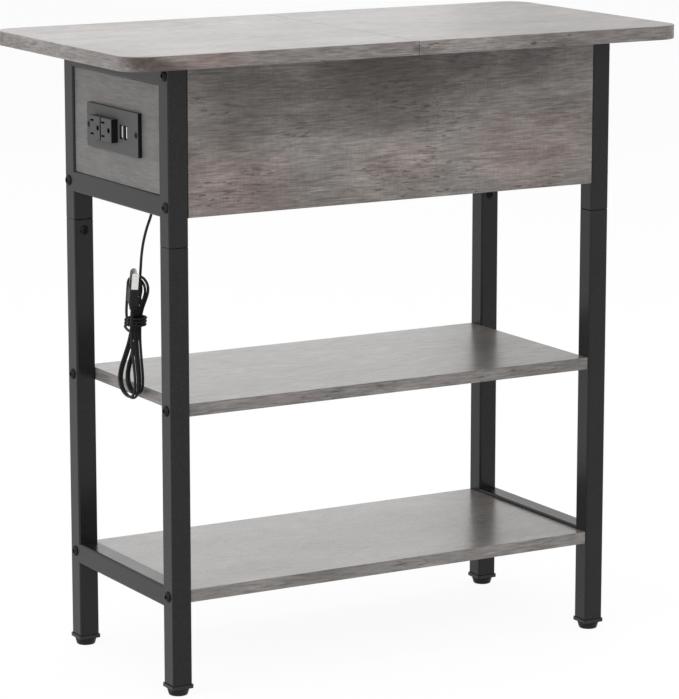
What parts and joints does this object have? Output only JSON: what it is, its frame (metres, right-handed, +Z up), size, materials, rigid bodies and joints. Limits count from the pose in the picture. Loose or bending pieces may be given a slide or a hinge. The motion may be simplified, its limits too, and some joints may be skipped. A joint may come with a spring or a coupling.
{
  "type": "flip top end table",
  "caption": "Narrow end table with a flip lid over a storage box, open shelves between black square tube legs, levelling feet, and a side power outlet with its cord in a hank.",
  "frame": {"origin": "on the floor, under the middle of the tabletop", "axes": "+X along the table's length towards the flip lid, +Y towards the back, +Z up"},
  "size_m": [0.6, 0.298, 0.6057],
  "materials": {
    "frame_paint": "satin black powder coat",
    "laminate_top": "satin weathered grey oak laminate",
    "laminate_panel": "satin weathered grey oak laminate",
    "laminate_shelf": "satin weathered grey oak laminate",
    "floor_board": "matt laminate on fibreboard",
    "black_screws": "black oxide",
    "zinc_steel": "bright zinc",
    "hinge_metal": "nickel plated",
    "black_plastic": "fine matt",
    "foot_plastic": "fine matt",
    "outlet_plastic": "satin",
    "contact_brass": "plain",
    "usb_steel": "plated",
    "usb_white": "gloss",
    "circuit_board": "solder mask",
    "cord_jacket": "satin flexible jacket",
    "grommet_rubber": "matt",
    "plug_metal": "nickel plated"
  },
  "bodies": {
    "table": {"upper_frame_left": "frame_paint", "upper_frame_right": "frame_paint", "lower_frame_left": "frame_paint", "lower_frame_right": "frame_paint", "fixed_top": "laminate_top", "front_panel": "laminate_panel", "rear_panel": "laminate_panel", "left_panel": "laminate_panel", "right_panel": "laminate_panel", "middle_shelf": "laminate_shelf", "lower_shelf": "laminate_shelf", "compartment_floor": "floor_board", "panel_bolts": "black_screws", "shelf_bolts": "black_screws", "leg_joint_screws": "black_screws", "outlet_plate_screws": "black_screws", "leg_spigots": "zinc_steel", "panel_barrel_nuts": "zinc_steel", "shelf_barrel_nuts": "zinc_steel", "side_panel_screws": "zinc_steel", "top_brackets": "zinc_steel", "bracket_screws": "zinc_steel", "hinge_barrels_fixed": "hinge_metal", "leg_plugs": "black_plastic", "outlet_housing": "black_plastic", "outlet_cover_plate": "outlet_plastic", "outlet_socket_block": "outlet_plastic", "socket_contacts": "contact_brass", "usb_shells": "usb_steel", "usb_inserts": "usb_white", "usb_charger_board": "circuit_board", "cord_strain_relief": "cord_jacket", "inner_cord": "cord_jacket", "cord_lead": "cord_jacket", "cord_hank": "cord_jacket", "plug_body": "cord_jacket", "floor_grommet": "grommet_rubber", "plug_blades": "plug_metal"},
    "lid": {"flip_lid": "laminate_top", "hinge_barrels_lid": "hinge_metal"},
    "hinge_link": {"hinge_links": "hinge_metal"},
    "foot_front_left": {"levelling_foot_front_left": "foot_plastic"},
    "foot_rear_left": {"levelling_foot_rear_left": "foot_plastic"},
    "foot_front_right": {"levelling_foot_front_right": "foot_plastic"},
    "foot_rear_right": {"levelling_foot_rear_right": "foot_plastic"}
  },
  "joints": [
    {"name": "hinge_link_turn", "type": "hinge", "parent": "table", "child": "hinge_link", "pos_m": [0, 0, 0.6061], "axis": [0, -1, 0], "range_deg": [0, 52.5]},
    {"name": "lid_hinge", "type": "hinge", "parent": "hinge_link", "child": "lid", "pos_m": [0, 0, 0.6061], "axis": [0, -1, 0], "range_deg": [0, 52.5]},
    {"name": "foot_front_left_height", "type": "slide", "parent": "table", "child": "foot_front_left", "axis": [0, 0, -1], "range_m": [0, 0.008]},
    {"name": "foot_rear_left_height", "type": "slide", "parent": "table", "child": "foot_rear_left", "axis": [0, 0, -1], "range_m": [0, 0.008]},
    {"name": "foot_front_right_height", "type": "slide", "parent": "table", "child": "foot_front_right", "axis": [0, 0, -1], "range_m": [0, 0.008]},
    {"name": "foot_rear_right_height", "type": "slide", "parent": "table", "child": "foot_rear_right", "axis": [0, 0, -1], "range_m": [0, 0.008]}
  ]
}
